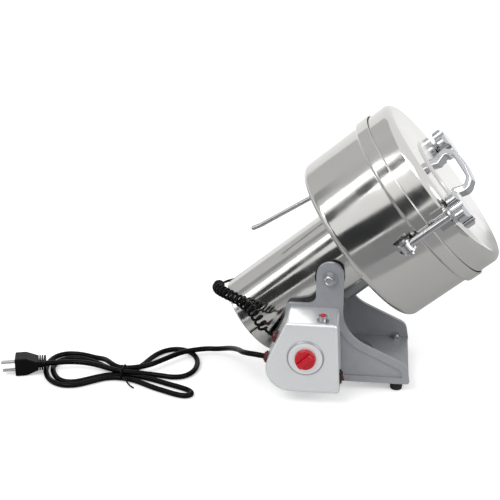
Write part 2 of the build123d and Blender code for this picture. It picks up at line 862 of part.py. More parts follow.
def bowl_screws():
    low = bowl_bottom + bowl_wall
    screw = upright_rod(bowl_screw_radius, bowl_bottom - 7, low) + upright_rod(4.6, low, low + 2.4)
    return around(bowl_screw_count, Pos(bowl_screw_circle, 0, 0) * screw, bowl_screw_turn)


def shaft_seal():
    low = bowl_bottom + bowl_wall
    return turned((shaft_radius + fit_gap, low), (15, low), (15, low + 2), (10, low + 6, 1.5),
                  (shaft_radius + fit_gap, low + 6))


def swing_lever():
    points = [(x, 0, z) for x, z in lever_points]
    path = FilletPolyline(*points, radius=8)
    section = Plane(origin=path @ 0, z_dir=path % 0) * Circle(lever_radius)
    rod = sweep(section, path=path)
    rod = fillet(rod.faces().sort_by(Axis.Z)[0].edges(), lever_radius * 0.8)
    collar = rod_between(6, points[0], (points[0][0] - 0.9, 0, points[0][2] - 6))
    whole = rod + collar
    return whole - upright_rod(collar_radius, bowl_bottom, bowl_bottom + 30)


# ---- clamps -----------------------------------------------------------------------------------
clamp_bearings = (clamp_bearing, clamp_bearing + 180)
washer_low = ear_low + ear_thickness + running_gap
star_low = washer_low + clamp_washer_thickness + running_gap
bolt_top = star_low + bolt_engagement


def at_clamps(shape):
    return [Rot(0, 0, turn) * shape for turn in clamp_bearings]


def clamp_lugs():
    """A U-shaped bracket on the bowl's wall, drawn on the +X side."""
    spread = eye_width + 2 * running_gap + 2 * lug_plate
    reach = clamp_radius + eye_radius * 0.8
    base = Pos(bowl_radius - 2, 0, hinge_height) * Box(
        2 + lug_base, spread, lug_height, align=(Align.MIN, Align.CENTER, Align.CENTER))
    lug = base
    for side in (-1, 1):
        cheek = rounded_face(
            (bowl_radius - 2, hinge_height - lug_height / 2), (bowl_radius + lug_base, hinge_height - lug_height / 2),
            (reach, hinge_height - eye_radius * 0.8, 5), (reach, hinge_height + eye_radius * 0.8, 5),
            (bowl_radius + lug_base, hinge_height + lug_height / 2), (bowl_radius - 2, hinge_height + lug_height / 2))
        middle = side * (spread - lug_plate) / 2
        lug += side_slab(cheek, middle - lug_plate / 2, middle + lug_plate / 2)
    lug -= upright_rod(bowl_radius, hinge_height - lug_height, hinge_height + lug_height)
    lug -= Pos(clamp_radius, 0, hinge_height) * Rot(90, 0, 0) * Cylinder(hinge_pin_radius, spread + 2)
    return at_clamps(lug)


def hinge_pins():
    spread = eye_width + 2 * running_gap + 2 * lug_plate
    pin = Cylinder(hinge_pin_radius, spread + 3)
    head = Pos(0, 0, spread / 2) * upright_rod(hinge_pin_radius + 2.2, 0, 3.2)
    tail = Pos(0, 0, -spread / 2) * upright_rod(hinge_pin_radius + 1.2, -1.5, 0)
    pins = []
    for bearing_angle in clamp_bearings:
        side = 1 if bearing_angle == clamp_bearing else -1
        place = Rot(0, 0, bearing_angle) * Pos(clamp_radius, 0, hinge_height) * Rot(-90 * side, 0, 0)
        pins.append(place * (pin + head + tail))
    return pins


def swing_bolts():
    eye = Pos(clamp_radius, 0, hinge_height) * Rot(90, 0, 0) * Cylinder(eye_radius, eye_width)
    eye -= Pos(clamp_radius, 0, hinge_height) * Rot(90, 0, 0) * Cylinder(hinge_pin_radius + fit_gap, eye_width + 2)
    shank = Pos(clamp_radius, 0, 0) * upright_rod(clamp_bolt_radius, hinge_height + eye_radius - 1.5, bolt_top)
    return at_clamps(eye + shank)


def lid_ears():
    """Forked brackets on the lid's skirt that the swing bolts lie in."""
    top = ear_low + ear_thickness
    ear = Pos(lid_radius - 2, 0, ear_low) * Box(
        ear_reach - lid_radius + 2, ear_width, ear_thickness, align=(Align.MIN, Align.CENTER, Align.MIN))
    ear = fillet(ear.faces().sort_by(Axis.X)[-1].edges().filter_by(Axis.Z), 4)
    leg = Pos(lid_radius - 2, 0, top - ear_leg) * Box(
        2 + ear_thickness, ear_width, ear_leg, align=(Align.MIN, Align.CENTER, Align.MIN))
    ear += leg
    slot = Pos(clamp_radius, 0, ear_low - 1) * extrude(Circle(ear_slot / 2), amount=ear_thickness + 2)
    slot += Pos(clamp_radius, 0, ear_low - 1) * Box(
        20, ear_slot, ear_thickness + 2, align=(Align.MIN, Align.CENTER, Align.MIN))
    ear -= slot
    ear -= upright_rod(lid_radius, collar_top, lid_top)
    return at_clamps(ear)


def clamp_washers():
    ring = upright_tube(clamp_washer_radius, clamp_bolt_radius + fit_gap, washer_low, washer_low + clamp_washer_thickness)
    return at_clamps(Pos(clamp_radius, 0, 0) * ring)


def star_knob():
    """A cast star knob with a blind bore, drawn about its own bolt."""
    lobe_place = star_radius - star_lobe_radius
    star = Circle(star_radius * 0.72)
    for i in range(star_lobe_count):
        star += Rot(0, 0, 360 / star_lobe_count * i) * Pos(lobe_place, 0) * Circle(star_lobe_radius)
    low = star_low + star_hub_height
    head = Pos(0, 0, low) * extrude(star, amount=star_height)
    crown = turned((0, low - 1), (star_radius - 3, low - 1), (star_radius + 1, low + 3),
                   (star_radius + 1, low + star_height - 5), (star_radius * 0.7, low + star_height + 1.2),
                   (0, low + star_height + 1.2))
    head &= crown
    hub = Pos(0, 0, star_low) * Cone(
        star_hub_radius - 2, star_hub_radius, star_hub_height, align=(Align.CENTER, Align.CENTER, Align.MIN))
    knob = head + hub
    return knob - upright_rod(clamp_bolt_radius + fit_gap, star_low - 1, bolt_top + 0.5)


def knob_at(bearing_angle):
    return Rot(0, 0, bearing_angle) * Pos(clamp_radius, 0, 0) * star_knob()


# ---- lid --------------------------------------------------------------------------------------
skirt_low = ledge_top + seal_gap + seal_height


def lid_shell():
    inner = lid_radius - lid_wall
    under = lid_top - lid_wall
    shell = turned(
        (0, lid_top + lid_step), (lid_step_radius, lid_top + lid_step, 1.5), (lid_step_radius + 2.5, lid_top, 1.5),
        (lid_radius, lid_top, lid_round), (lid_radius, skirt_low), (inner, skirt_low),
        (inner, under, lid_round - lid_wall), (lid_step_radius + 1.2, under), (lid_step_radius - 1.3, under + lid_step),
        (0, under + lid_step),
    )
    for side in (-1, 1):
        spot = Rot(0, 0, handle_turn) * Pos(side * handle_screw_place, 0, 0)
        shell -= spot * upright_rod(handle_screw_radius + 0.1, under, lid_top + lid_step + 1)
    return shell


def lid_seal():
    return upright_tube(lid_radius - seat_gap, lid_radius - lid_wall - 1.6, ledge_top + seal_gap, skirt_low)


handle_screw_place = handle_foot - handle_thickness / 2 - 0.5
handle_low = lid_top + lid_step


def lid_handle():
    """A cast bow handle: its side view made solid across its width."""
    low = handle_low
    high = low + handle_rise
    inner_high = high - handle_thickness
    inside = handle_foot - handle_thickness - 3
    outer = rounded_face(
        (-handle_foot, low), (-handle_belly, low + handle_rise * 0.5, 11),
        (-handle_shoulder, high - handle_crown, 10), (0, high, 60), (handle_shoulder, high - handle_crown, 10),
        (handle_belly, low + handle_rise * 0.5, 11), (handle_foot, low))
    window = rounded_face(
        (-inside, low - 1), (-inside - 6, low + handle_rise * 0.48, 6), (-inside + 2, inner_high, 7),
        (inside - 2, inner_high, 7), (inside + 6, low + handle_rise * 0.48, 6), (inside, low - 1))
    bow = side_slab(outer, -handle_width / 2, handle_width / 2)
    bow -= side_slab(window, -handle_width / 2 - 1, handle_width / 2 + 1)
    edges = bow.faces().sort_by(Axis.Y)[0].edges() + bow.faces().sort_by(Axis.Y)[-1].edges()
    bow = fillet([e for e in edges if e.center().Z > low + 0.5], 1.8)
    for side in (-1, 1):
        bow -= Pos(side * handle_screw_place, 0, 0) * upright_rod(handle_screw_radius, low - 1, low + 9)
    return Rot(0, 0, handle_turn) * bow


def handle_screws():
    under = lid_top - lid_wall + lid_step
    screw = upright_rod(handle_screw_radius, under, handle_low + 8.5) + upright_rod(4.5, under - 2.6, under)
    spots = [Rot(0, 0, handle_turn) * Pos(side * handle_screw_place, 0, 0) for side in (-1, 1)]
    return [spot * screw for spot in spots]


# ---- cords ------------------------------------------------------------------------------------
def cord_tube(name, points, radius):
    """A tube along straight runs joined by arcs as large as the runs allow."""
    spots = [Vector(*p) for p in points]
    radii = []
    for before, here, after in zip(spots, spots[1:], spots[2:]):
        first = here - before
        second = after - here
        turn = radians(first.get_angle(second))
        radii.append(0.45 * min(first.length, second.length) / tan(turn / 2))
    path = FilletPolyline(*spots, radius=radii)
    section = Plane(origin=path @ 0, z_dir=path % 0) * Circle(radius)
    tube = sweep(section, path=path)
    share = volume_of(tube) / (pi * radius**2 * path.length)
    print(name, "length", round(path.length, 1), "radii", [round(r, 1) for r in radii], "volume", round(share, 4))
    return tube


def point_and_way(place, reach):
    """A gland's tip in the stand's frame, and a point a run further out along it."""
    tip = place * Pos(0, 0, reach)
    next_point = place * Pos(0, 0, reach + end_run * 0.7)
    return [tuple(tip.position), tuple(next_point.position)]


def heading(angle):
    return Vector(1, 0).rotate(Axis.Z, angle)


def mains_route():
    start = point_and_way(outward(mains_gland_place()), mains_gland_length)
    end = Vector(*mains_end)
    before = end - heading(mains_heading) * end_run
    return start + mains_points + [tuple(before), tuple(end)]


def curly_route():
    start = point_and_way(outward(curly_gland_place()), gland_length)
    return start + curly_points + [curly_end]


def lead_route():
    end = Vector(*curly_end)
    way = (end - Vector(*curly_points[-1])).normalized()
    head_frame = Pos(0, 0, pivot_height) * Rot(0, head_lean, 0)
    finish = point_and_way(head_frame * head_gland_place(), gland_length)
    return [tuple(end), tuple(end + way * end_run)] + lead_points + [finish[1], finish[0]]


def edge_across(end, angle, before, after, radius):
    """Two outline corners on the line square to a heading, so that a round end meets it flat."""
    spot = Vector(end[0], end[1])
    along = heading(angle + 90)
    first = spot - along * before
    second = spot + along * after
    return [(first.X, first.Y, radius), (second.X, second.Y, radius)]


def mains_hank():
    """The hank's outer shape: its loops lie in and over one another."""
    right = edge_across(mains_end, mains_heading, 22, 62, 12)
    left = edge_across(plug_end, plug_turn, 27, 28, 14)
    outline = rounded_face(*hank_upper, *left, *hank_lower, right[1], right[0])
    return Pos(0, 0, hank_low) * extrude(outline, amount=hank_height)


def hank_tie():
    """A band round the hank's waist."""
    room = 1.0
    middle = Pos(waist[0], waist[1], hank_low + hank_height / 2)
    width = waist_width + room
    band = Box(tie_width, width + 2 * tie_thickness, hank_height + 2 * hank_low - 0.02)
    return middle * (band - Box(tie_width + 1, width, hank_height))


def plug_place():
    length = plug_length + plug_neck
    face = Vector(*plug_end) + heading(plug_turn) * length
    return Pos(face.X, face.Y, plug_height / 2 + 0.3) * Rot(0, 0, plug_turn)


def plug_body():
    """A moulded plug, its face at zero and its blades along +X."""
    half_height = plug_height / 2
    face = rounded_face(
        (0, -half_height, 2), (0, half_height, 2), (-plug_length * 0.5, half_height, 12),
        (-plug_length, half_height * 0.5, 10), (-plug_length - plug_neck, 5.5),
        (-plug_length - plug_neck, -5.5), (-plug_length, -half_height * 0.5, 10), (-plug_length * 0.5, -half_height, 12))
    body = side_slab(face, -plug_width + 9, 9)
    edges = body.faces().sort_by(Axis.Y)[0].edges() + body.faces().sort_by(Axis.Y)[-1].edges()
    body = fillet(edges, 1.5)
    for step in range(3):
        ring = Pos(-plug_length - 2.2 - 3 * step, 0, 0) * Rot(0, 90, 0) * upright_tube(40, 5.2, 0, 1.2)
        body -= ring
    body = plug_place() * body
    for pin in plug_blades():
        body -= pin
    return body


def plug_blades():
    reach = blade_length + blade_root
    blade = Pos(-blade_root, 0, 0) * Box(reach, blade_width, blade_thickness, align=(Align.MIN, Align.CENTER, Align.CENTER))
    pieces = [Pos(0, 0, side * blade_spacing / 2) * blade for side in (-1, 1)]
    ground = upright_rod(ground_radius, 0, ground_length) + upright_rod(ground_root_radius, -blade_root, 1)
    ground = Pos(0, -ground_offset, 0) * Rot(0, 90, 0) * ground
    return [plug_place() * piece for piece in pieces + [ground]]


# ---- all pieces -------------------------------------------------------------------------------
def group(pieces):
    return Compound(children=[piece for piece in pieces])


stand_pieces = {
    "base_frame": base_frame(),
    "rubber_feet": group(rubber_feet()),
    "foot_screws": group(foot_screws()),
    "control_box": control_box(),
    "box_screws": group(box_screws()),
    "dial_plate": dial_plate(),
    "timer_mechanism": timer_mechanism(),
    "timer_shaft": timer_shaft(),
    "timer_knob": timer_knob(),
    "reset_breaker": reset_breaker(),
    "reset_button": reset_button(),
    "switch_bezel": switch_bezel(),
    "switch_rocker": rocker(),
    "mains_gland": mains_gland(),
    "curly_gland": curly_gland(),
    "mains_cord": cord_tube("mains_cord", mains_route(), mains_radius),
    "mains_hank": mains_hank(),
    "hank_tie": hank_tie(),
    "plug_body": plug_body(),
    "plug_blades": group(plug_blades()),
    "curly_cord": cord_tube("curly_cord", curly_route(), curly_radius),
    "curly_lead": cord_tube("curly_lead", lead_route(), lead_radius),
}

pivot_pieces = {
    "friction_pads": group(friction_pads()),
    "pivot_washers": group(pivot_washers()),
    "pivot_bolts": group(pivot_bolts()),
}

head_pieces = {
    "motor_tube": motor_tube(),
    "end_cap": end_cap(),
    "end_cap_screws": group(end_cap_screws()),
    "brush_bracket": brush_bracket(),
    "motor_bearings": group(motor_bearings()),
    "motor_bulkhead": motor_bulkhead(),
    "stator_core": stator_core(),
    "field_windings": group(field_windings()),
    "brush_holders": group(brush_holders()),
    "carbon_brushes": group(carbon_brushes()),
    "head_gland": head_gland(),
    "bowl": bowl(),
    "bowl_screws": group(bowl_screws()),
    "shaft_seal": shaft_seal(),
    "swing_lever": swing_lever(),
    "clamp_lugs": group(clamp_lugs()),
    "hinge_pins": group(hinge_pins()),
    "swing_bolts": group(swing_bolts()),
    "rotor_shaft": rotor_shaft(),
    "armature": armature(),
    "commutator": commutator(),
    "cooling_fan": cooling_fan(),
    "beater": beater(),
    "middle_cutter": middle_cutter(),
    "top_cutter": top_cutter(),
    "blade_spacers": group(blade_spacers()),
    "blade_nut": blade_nut(),
    "lid_shell": lid_shell(),
    "lid_seal": lid_seal(),
    "lid_ears": group(lid_ears()),
    "lid_handle": lid_handle(),
    "handle_screws": group(handle_screws()),
    "clamp_washers": group(clamp_washers()),
    "near_knob": knob_at(clamp_bearings[0]),
    "far_knob": knob_at(clamp_bearings[1]),
}

for name, shape in stand_pieces.items():
    keep(name, on_stand(shape))
for name, shape in pivot_pieces.items():
    keep(name, Pos(pivot_x, 0, pivot_height) * shape)
for name, shape in head_pieces.items():
    keep(name, on_head(shape))

os.makedirs("parts", exist_ok=True)
for name, shape in nodes.items():
    export_step(solids_of(shape), f"parts/{name}.step")
print(len(nodes), "nodes")
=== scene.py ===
# %% [markdown]
# # A swing-type grain mill
# The rigid pieces come packed from the part's own solids, already in metres and in their places.
# This scene gives each of them its finish, and makes what solids show badly: the supply cord with
# its loops and their wire tie, and the curly cord that follows the tilting head.

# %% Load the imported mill
import bpy
import bmesh
from math import cos, pi, radians, sin
from mathutils import Matrix, Vector


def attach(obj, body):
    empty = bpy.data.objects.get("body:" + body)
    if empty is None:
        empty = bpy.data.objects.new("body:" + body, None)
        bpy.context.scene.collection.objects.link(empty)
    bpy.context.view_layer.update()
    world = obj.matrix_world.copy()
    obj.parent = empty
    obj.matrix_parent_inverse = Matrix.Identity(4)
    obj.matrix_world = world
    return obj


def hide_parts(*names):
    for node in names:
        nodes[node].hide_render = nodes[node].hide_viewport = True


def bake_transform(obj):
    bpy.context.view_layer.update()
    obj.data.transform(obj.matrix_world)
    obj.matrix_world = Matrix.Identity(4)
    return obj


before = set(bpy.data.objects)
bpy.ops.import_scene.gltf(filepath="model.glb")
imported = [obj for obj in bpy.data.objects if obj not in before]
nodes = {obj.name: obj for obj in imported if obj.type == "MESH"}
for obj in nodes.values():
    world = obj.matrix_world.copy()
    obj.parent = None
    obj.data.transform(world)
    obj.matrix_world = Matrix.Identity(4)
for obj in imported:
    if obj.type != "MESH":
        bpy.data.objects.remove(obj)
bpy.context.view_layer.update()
bpy.ops.object.select_all(action="DESELECT")

# %% [markdown]
# ## Where things are
# The pivot that the head tilts on is the natural place to measure from, so the points below are in
# millimetres from the pivot in X, from the middle in Y and from the bench in Z, and one function
# turns them into metres in the frame. A second one leans a point of the upright head with the head.

# %% Places
PIVOT_X = -37.0
PIVOT_HEIGHT = 157.0
HEAD_LEAN = radians(50.33)


def place(x, y, z):
    """A point in the frame, in metres, from millimetres off the pivot, the middle and the bench."""
    return Vector(((PIVOT_X + x) / 1000, y / 1000, z / 1000))


pivot = place(0, 0, PIVOT_HEIGHT)


def on_head(x, y, z):
    """A point of the upright head, in millimetres from the pivot, leaned to its rest position."""
    return pivot + Matrix.Rotation(HEAD_LEAN, 3, "Y") @ Vector((x, y, z)) / 1000


print("pivot", tuple(pivot))

# %% [markdown]
# ## Tools for finishes
# Colours are written as the hex values that a paint chart would give, and one function makes them
# linear. One small function adds a node with its settings and links, so that each finish below
# reads as a list of what it is made of. A pattern's scale is in cells to the metre, so a scale of
# 500 draws something every 2 mm.

# %% Colour and node helpers
def linear(hex_colour):
    """A hex colour as linear RGBA."""
    values = [int(hex_colour[i:i + 2], 16) / 255 for i in (1, 3, 5)]
    return [v / 12.92 if v <= 0.04045 else ((v + 0.055) / 1.055) ** 2.4 for v in values] + [1.0]


def add_node(tree, kind, settings=None, inputs=None):
    """Add one node; an input is a plain value or the output socket that feeds it."""
    node = tree.nodes.new(kind)
    for name, value in (settings or {}).items():
        setattr(node, name, value)
    for name, value in (inputs or {}).items():
        if isinstance(value, bpy.types.NodeSocket):
            tree.links.new(value, node.inputs[name])
        else:
            node.inputs[name].default_value = value
    return node


def start_finish(name):
    """An empty material with its shader and the object's own coordinates."""
    material = bpy.data.materials.new(name)
    material.use_nodes = True
    tree = material.node_tree
    tree.nodes.clear()
    output = add_node(tree, "ShaderNodeOutputMaterial")
    shader = add_node(tree, "ShaderNodeBsdfPrincipled")
    tree.links.new(shader.outputs["BSDF"], output.inputs["Surface"])
    where = add_node(tree, "ShaderNodeTexCoord").outputs["Object"]
    return material, tree, shader, where


def feed(tree, shader, **sockets):
    """Set or link the shader's inputs, with _ for a blank in their names."""
    for name, value in sockets.items():
        target = shader.inputs[name.replace("_", " ")]
        if isinstance(value, bpy.types.NodeSocket):
            tree.links.new(value, target)
        else:
            target.default_value = value


def finish_nodes(material, *names):
    """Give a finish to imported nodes, in place of the plain one they come with."""
    for name in names:
        mesh_object = nodes[name]
        mesh_object.data.materials.clear()
        mesh_object.data.materials.append(material)
    print(material.name, "on", ", ".join(names))


print("mid grey as linear", round(linear("#808080")[0], 3))

# %% [markdown]
# ## Polished stainless steel
# The bowl, lid and motor tube are spun or rolled from stainless sheet, about 2 mm thick, and then
# polished almost to a mirror. Spinning leaves faint rings round the axis, and handling leaves soft
# smears, so the roughness drifts a little, and a very fine ring pattern with broad hollows bends
# the reflections. The rings are drawn 1.2 mm apart, coarser than the real ones, so that they can be
# seen at all.

# %% Polished stainless steel
RINGS = (6, 6, 830)  # a ring hardly changes on its way round; the next one is 1.2 mm on
SMEAR_SCALE = 22.0  # smears about 45 mm across
SMEAR_DULLING = 0.09
SMEAR_DEPTH = 9.0  # in depths of a ring


def make_polished_steel(name, colour, roughness, ring_strength):
    """Bright steel with rings round the head's axis and soft smears over them."""
    material, tree, shader, where = start_finish(name)
    turned = add_node(tree, "ShaderNodeMapping", {"vector_type": "TEXTURE"}, {
        "Vector": where, "Location": pivot, "Rotation": (0, HEAD_LEAN, 0)})
    stretched = add_node(tree, "ShaderNodeMapping", None, {
        "Vector": turned.outputs["Vector"], "Scale": RINGS})
    rings = add_node(tree, "ShaderNodeTexNoise", None, {
        "Vector": stretched.outputs["Vector"], "Scale": 1.0, "Detail": 2.0})
    smears = add_node(tree, "ShaderNodeTexNoise", None, {
        "Vector": where, "Scale": SMEAR_SCALE, "Detail": 4.0})
    worn = add_node(tree, "ShaderNodeMapRange", None, {
        "Value": smears.outputs["Fac"], "From Min": 0.35, "From Max": 0.7,
        "To Min": roughness, "To Max": roughness + SMEAR_DULLING})
    uneven = add_node(tree, "ShaderNodeMath", {"operation": "MULTIPLY_ADD"}, {
        0: smears.outputs["Fac"], 1: SMEAR_DEPTH, 2: rings.outputs["Fac"]})
    bump = add_node(tree, "ShaderNodeBump", None, {
        "Height": uneven.outputs["Value"], "Strength": ring_strength, "Distance": 0.0002})
    feed(tree, shader, Base_Color=linear(colour), Metallic=1.0,
         Roughness=worn.outputs["Result"], Normal=bump.outputs["Normal"])
    return material


polished_steel = make_polished_steel("polished stainless steel", "#d3d2cf", 0.08, 0.06)
finish_nodes(polished_steel, "bowl", "lid_shell", "motor_tube", "clamp_lugs", "lid_ears", "end_cap")

# %% [markdown]
# ## Chromed castings
# The star knobs, the bow handle and the clamp bolts are plated: a hard, mirror-like skin that
# follows the slightly uneven casting under it, which a broad, shallow noise gives.

# %% Chrome
chrome, tree, shader, where = start_finish("chromed casting")
casting = add_node(tree, "ShaderNodeTexNoise", None, {
    "Vector": where, "Scale": 140.0, "Detail": 1.0})
bump = add_node(tree, "ShaderNodeBump", None, {
    "Height": casting.outputs["Fac"], "Strength": 0.12, "Distance": 0.0006})
feed(tree, shader, Base_Color=linear("#c2c3c6"), Metallic=1.0, Roughness=0.07,
     Normal=bump.outputs["Normal"])
finish_nodes(chrome, "near_knob", "far_knob", "lid_handle", "swing_lever", "swing_bolts",
             "hinge_pins", "pivot_bolts", "timer_shaft", "reset_breaker")

# %% [markdown]
# ## Zinc plated fixings
# Screws, washers and the plug's blades are bright zinc or nickel plated: a thin grey skin whose
# crystals, about a millimetre across, are duller or brighter from one to the next.

# %% Zinc plate
zinc_plate, tree, shader, where = start_finish("zinc plated steel")
spangle = add_node(tree, "ShaderNodeTexNoise", None, {
    "Vector": where, "Scale": 900.0, "Detail": 2.0})
dull = add_node(tree, "ShaderNodeMapRange", None, {
    "Value": spangle.outputs["Fac"], "To Min": 0.22, "To Max": 0.42})
feed(tree, shader, Base_Color=linear("#c3c5c6"), Metallic=1.0, Roughness=dull.outputs["Result"])
finish_nodes(zinc_plate, "foot_screws", "box_screws", "end_cap_screws", "bowl_screws",
             "handle_screws", "pivot_washers", "clamp_washers", "plug_blades")

# %% [markdown]
# ## Painted cast iron
# The base is a sand casting under a thick stoved enamel. The paint flows into a soft orange peel
# about 2 mm across, with the coarser waviness of the casting, about 10 mm across, under it.

# %% Base paint
base_paint, tree, shader, where = start_finish("grey stoved enamel on cast iron")
peel = add_node(tree, "ShaderNodeTexNoise", None, {"Vector": where, "Scale": 520.0, "Detail": 1.5})
sand = add_node(tree, "ShaderNodeTexNoise", None, {"Vector": where, "Scale": 95.0, "Detail": 3.0})
height = add_node(tree, "ShaderNodeMath", {"operation": "MULTIPLY_ADD"}, {
    0: sand.outputs["Fac"], 1: 1.6, 2: peel.outputs["Fac"]})
bump = add_node(tree, "ShaderNodeBump", None, {
    "Height": height.outputs["Value"], "Strength": 0.28, "Distance": 0.0004})
tone = add_node(tree, "ShaderNodeMix", {"data_type": "RGBA"}, {
    "Factor": sand.outputs["Fac"], "A": linear("#87898e"), "B": linear("#93959a")})
feed(tree, shader, Base_Color=tone.outputs["Result"], Roughness=0.32,
     Normal=bump.outputs["Normal"])
finish_nodes(base_paint, "base_frame")

# %% [markdown]
# ## Silver paint
# The timer box is folded sheet with a fine metallic silver paint: flakes a few hundredths of a
# millimetre wide, drawn ten times coarser here so that they give a faint sparkle.

# %% Box paint
box_paint, tree, shader, where = start_finish("metallic silver paint")
flake = add_node(tree, "ShaderNodeTexVoronoi", None, {"Vector": where, "Scale": 2400.0})
flake_tone = add_node(tree, "ShaderNodeMix", {"data_type": "RGBA"}, {
    "Factor": flake.outputs["Color"], "A": linear("#dcdee0"), "B": linear("#e9ebec")})
peel = add_node(tree, "ShaderNodeTexNoise", None, {"Vector": where, "Scale": 420.0, "Detail": 1.0})
bump = add_node(tree, "ShaderNodeBump", None, {
    "Height": peel.outputs["Fac"], "Strength": 0.08, "Distance": 0.0003})
feed(tree, shader, Base_Color=flake_tone.outputs["Result"], Metallic=0.6, Roughness=0.27,
     Normal=bump.outputs["Normal"])
finish_nodes(box_paint, "control_box")

# %% [markdown]
# ## Plastics and rubber
# The timer knob is glossy red moulded plastic, the switch and the strain reliefs a dark red one.
# The feet and the friction pads are black rubber with a dull bloom. One function serves them all:
# a moulded skin has a faint cloudiness, about 17 mm across, and only colour, gloss and grain
# differ. Cast and drawn metals have such a skin too, so it can also be made metallic.

# %% Moulded finishes
CLOUD_SCALE = 60.0
CLOUD_DULLING = 0.05


def make_moulded(name, colour, roughness, grain_mm, grain_strength, metallic=0.0, specular=0.5):
    """A cloudy, slightly grained skin, as a mould or a die leaves it."""
    material, tree, shader, where = start_finish(name)
    grain = add_node(tree, "ShaderNodeTexNoise", None, {
        "Vector": where, "Scale": 1000 / grain_mm, "Detail": 2.0})
    cloud = add_node(tree, "ShaderNodeTexNoise", None, {
        "Vector": where, "Scale": CLOUD_SCALE, "Detail": 2.0})
    gloss = add_node(tree, "ShaderNodeMapRange", None, {
        "Value": cloud.outputs["Fac"],
        "To Min": roughness - CLOUD_DULLING, "To Max": roughness + CLOUD_DULLING})
    bump = add_node(tree, "ShaderNodeBump", None, {
        "Height": grain.outputs["Fac"], "Strength": grain_strength, "Distance": 0.0002})
    feed(tree, shader, Base_Color=linear(colour), Roughness=gloss.outputs["Result"],
         Normal=bump.outputs["Normal"], Metallic=metallic, Specular_IOR_Level=specular)
    return material


knob_red = make_moulded("red moulded knob", "#b40018", 0.22, 1.5, 0.05)
dark_red = make_moulded("dark red moulding", "#4a0a10", 0.25, 1.2, 0.08)
button_red = make_moulded("red button", "#c8101a", 0.25, 1.2, 0.05)
black_plastic = make_moulded("black moulding", "#0d0d0e", 0.45, 0.8, 0.15)
black_rubber = make_moulded("black rubber", "#0f0f10", 0.6, 0.6, 0.25)
seal_silicone = make_moulded("white silicone seal", "#c9c6bd", 0.5, 1.0, 0.1)
finish_nodes(knob_red, "timer_knob")
finish_nodes(dark_red, "mains_gland", "curly_gland", "head_gland", "switch_rocker")
finish_nodes(button_red, "reset_button")
finish_nodes(black_plastic, "switch_bezel", "timer_mechanism", "brush_holders", "carbon_brushes")
finish_nodes(black_rubber, "rubber_feet", "friction_pads")
finish_nodes(seal_silicone, "lid_seal", "shaft_seal")

# %% [markdown]
# ## The timer's plate
# The timer's scale plate is a pressed aluminium disc, anodised almost white. A band of painted
# shade about 2 mm wide darkens its edge, where its raised rim would shade; the band follows the
# distance from the timer's own axis, which lies along Y.

# %% Timer plate
TIMER_AXIS = place(-25.2, 0, 69.1)
# where the painted edge shade begins and where it is full, in metres off the timer's axis
EDGE_SHADE_START = 0.0212
EDGE_SHADE_FULL = 0.0218
dial_silver = make_moulded("anodised timer plate", "#e2e3e4", 0.3, 0.5, 0.1, metallic=0.4)
tree = dial_silver.node_tree
where = add_node(tree, "ShaderNodeTexCoord").outputs["Object"]
flattened = add_node(tree, "ShaderNodeVectorMath", {"operation": "MULTIPLY"}, {
    0: where, 1: (1, 0, 1)})
off_axis = add_node(tree, "ShaderNodeVectorMath", {"operation": "DISTANCE"}, {
    0: flattened.outputs["Vector"], 1: TIMER_AXIS})
# painted shade: the plate's outer edge is darkened towards #94979b, standing in for its shaded rim
edge_shade = add_node(tree, "ShaderNodeMapRange", None, {
    "Value": off_axis.outputs["Value"], "From Min": EDGE_SHADE_START, "From Max": EDGE_SHADE_FULL})
plate = add_node(tree, "ShaderNodeMix", {"data_type": "RGBA"}, {
    "Factor": edge_shade.outputs["Result"], "A": linear("#e4e5e6"), "B": linear("#94979b")})
feed(tree, tree.nodes["Principled BSDF"], Base_Color=plate.outputs["Result"])
finish_nodes(dial_silver, "dial_plate")

# %% [markdown]
# ## Inside the head
# Behind the steel are the motor's iron, copper and cast aluminium, and in the bowl the ground
# tool-steel beaters. They show when the lid is lifted, and through the vents of the tail cap.

# %% Motor and beater finishes
ground_steel = make_polished_steel("ground tool steel", "#a9aaac", 0.2, 0.15)
finish_nodes(ground_steel, "beater", "middle_cutter", "top_cutter", "blade_spacers", "blade_nut",
             "rotor_shaft", "motor_bearings")
motor_iron = make_moulded("varnished motor iron", "#3a3b3d", 0.5, 1.0, 0.3)
finish_nodes(motor_iron, "stator_core", "armature")
cast_aluminium = make_moulded("cast aluminium", "#9fa1a3", 0.45, 1.0, 0.3, metallic=0.9)
finish_nodes(cast_aluminium, "brush_bracket", "motor_bulkhead", "cooling_fan")
copper = make_moulded("enamelled copper wire", "#a4532a", 0.35, 0.7, 0.5, metallic=0.8)
finish_nodes(copper, "field_windings", "commutator")

# %% [markdown]
# ## The supply cord
# A round rubber cord, 7.2 mm thick, leaves the box low on its left, drops to the bench and is
# folded into a bow: two loops on each side of a tie, and the plug on the last run. It is one
# spline through chosen points, with its middle at one of two heights where it lies on the bench:
# LOW on it, and HIGH on another run of the cord.

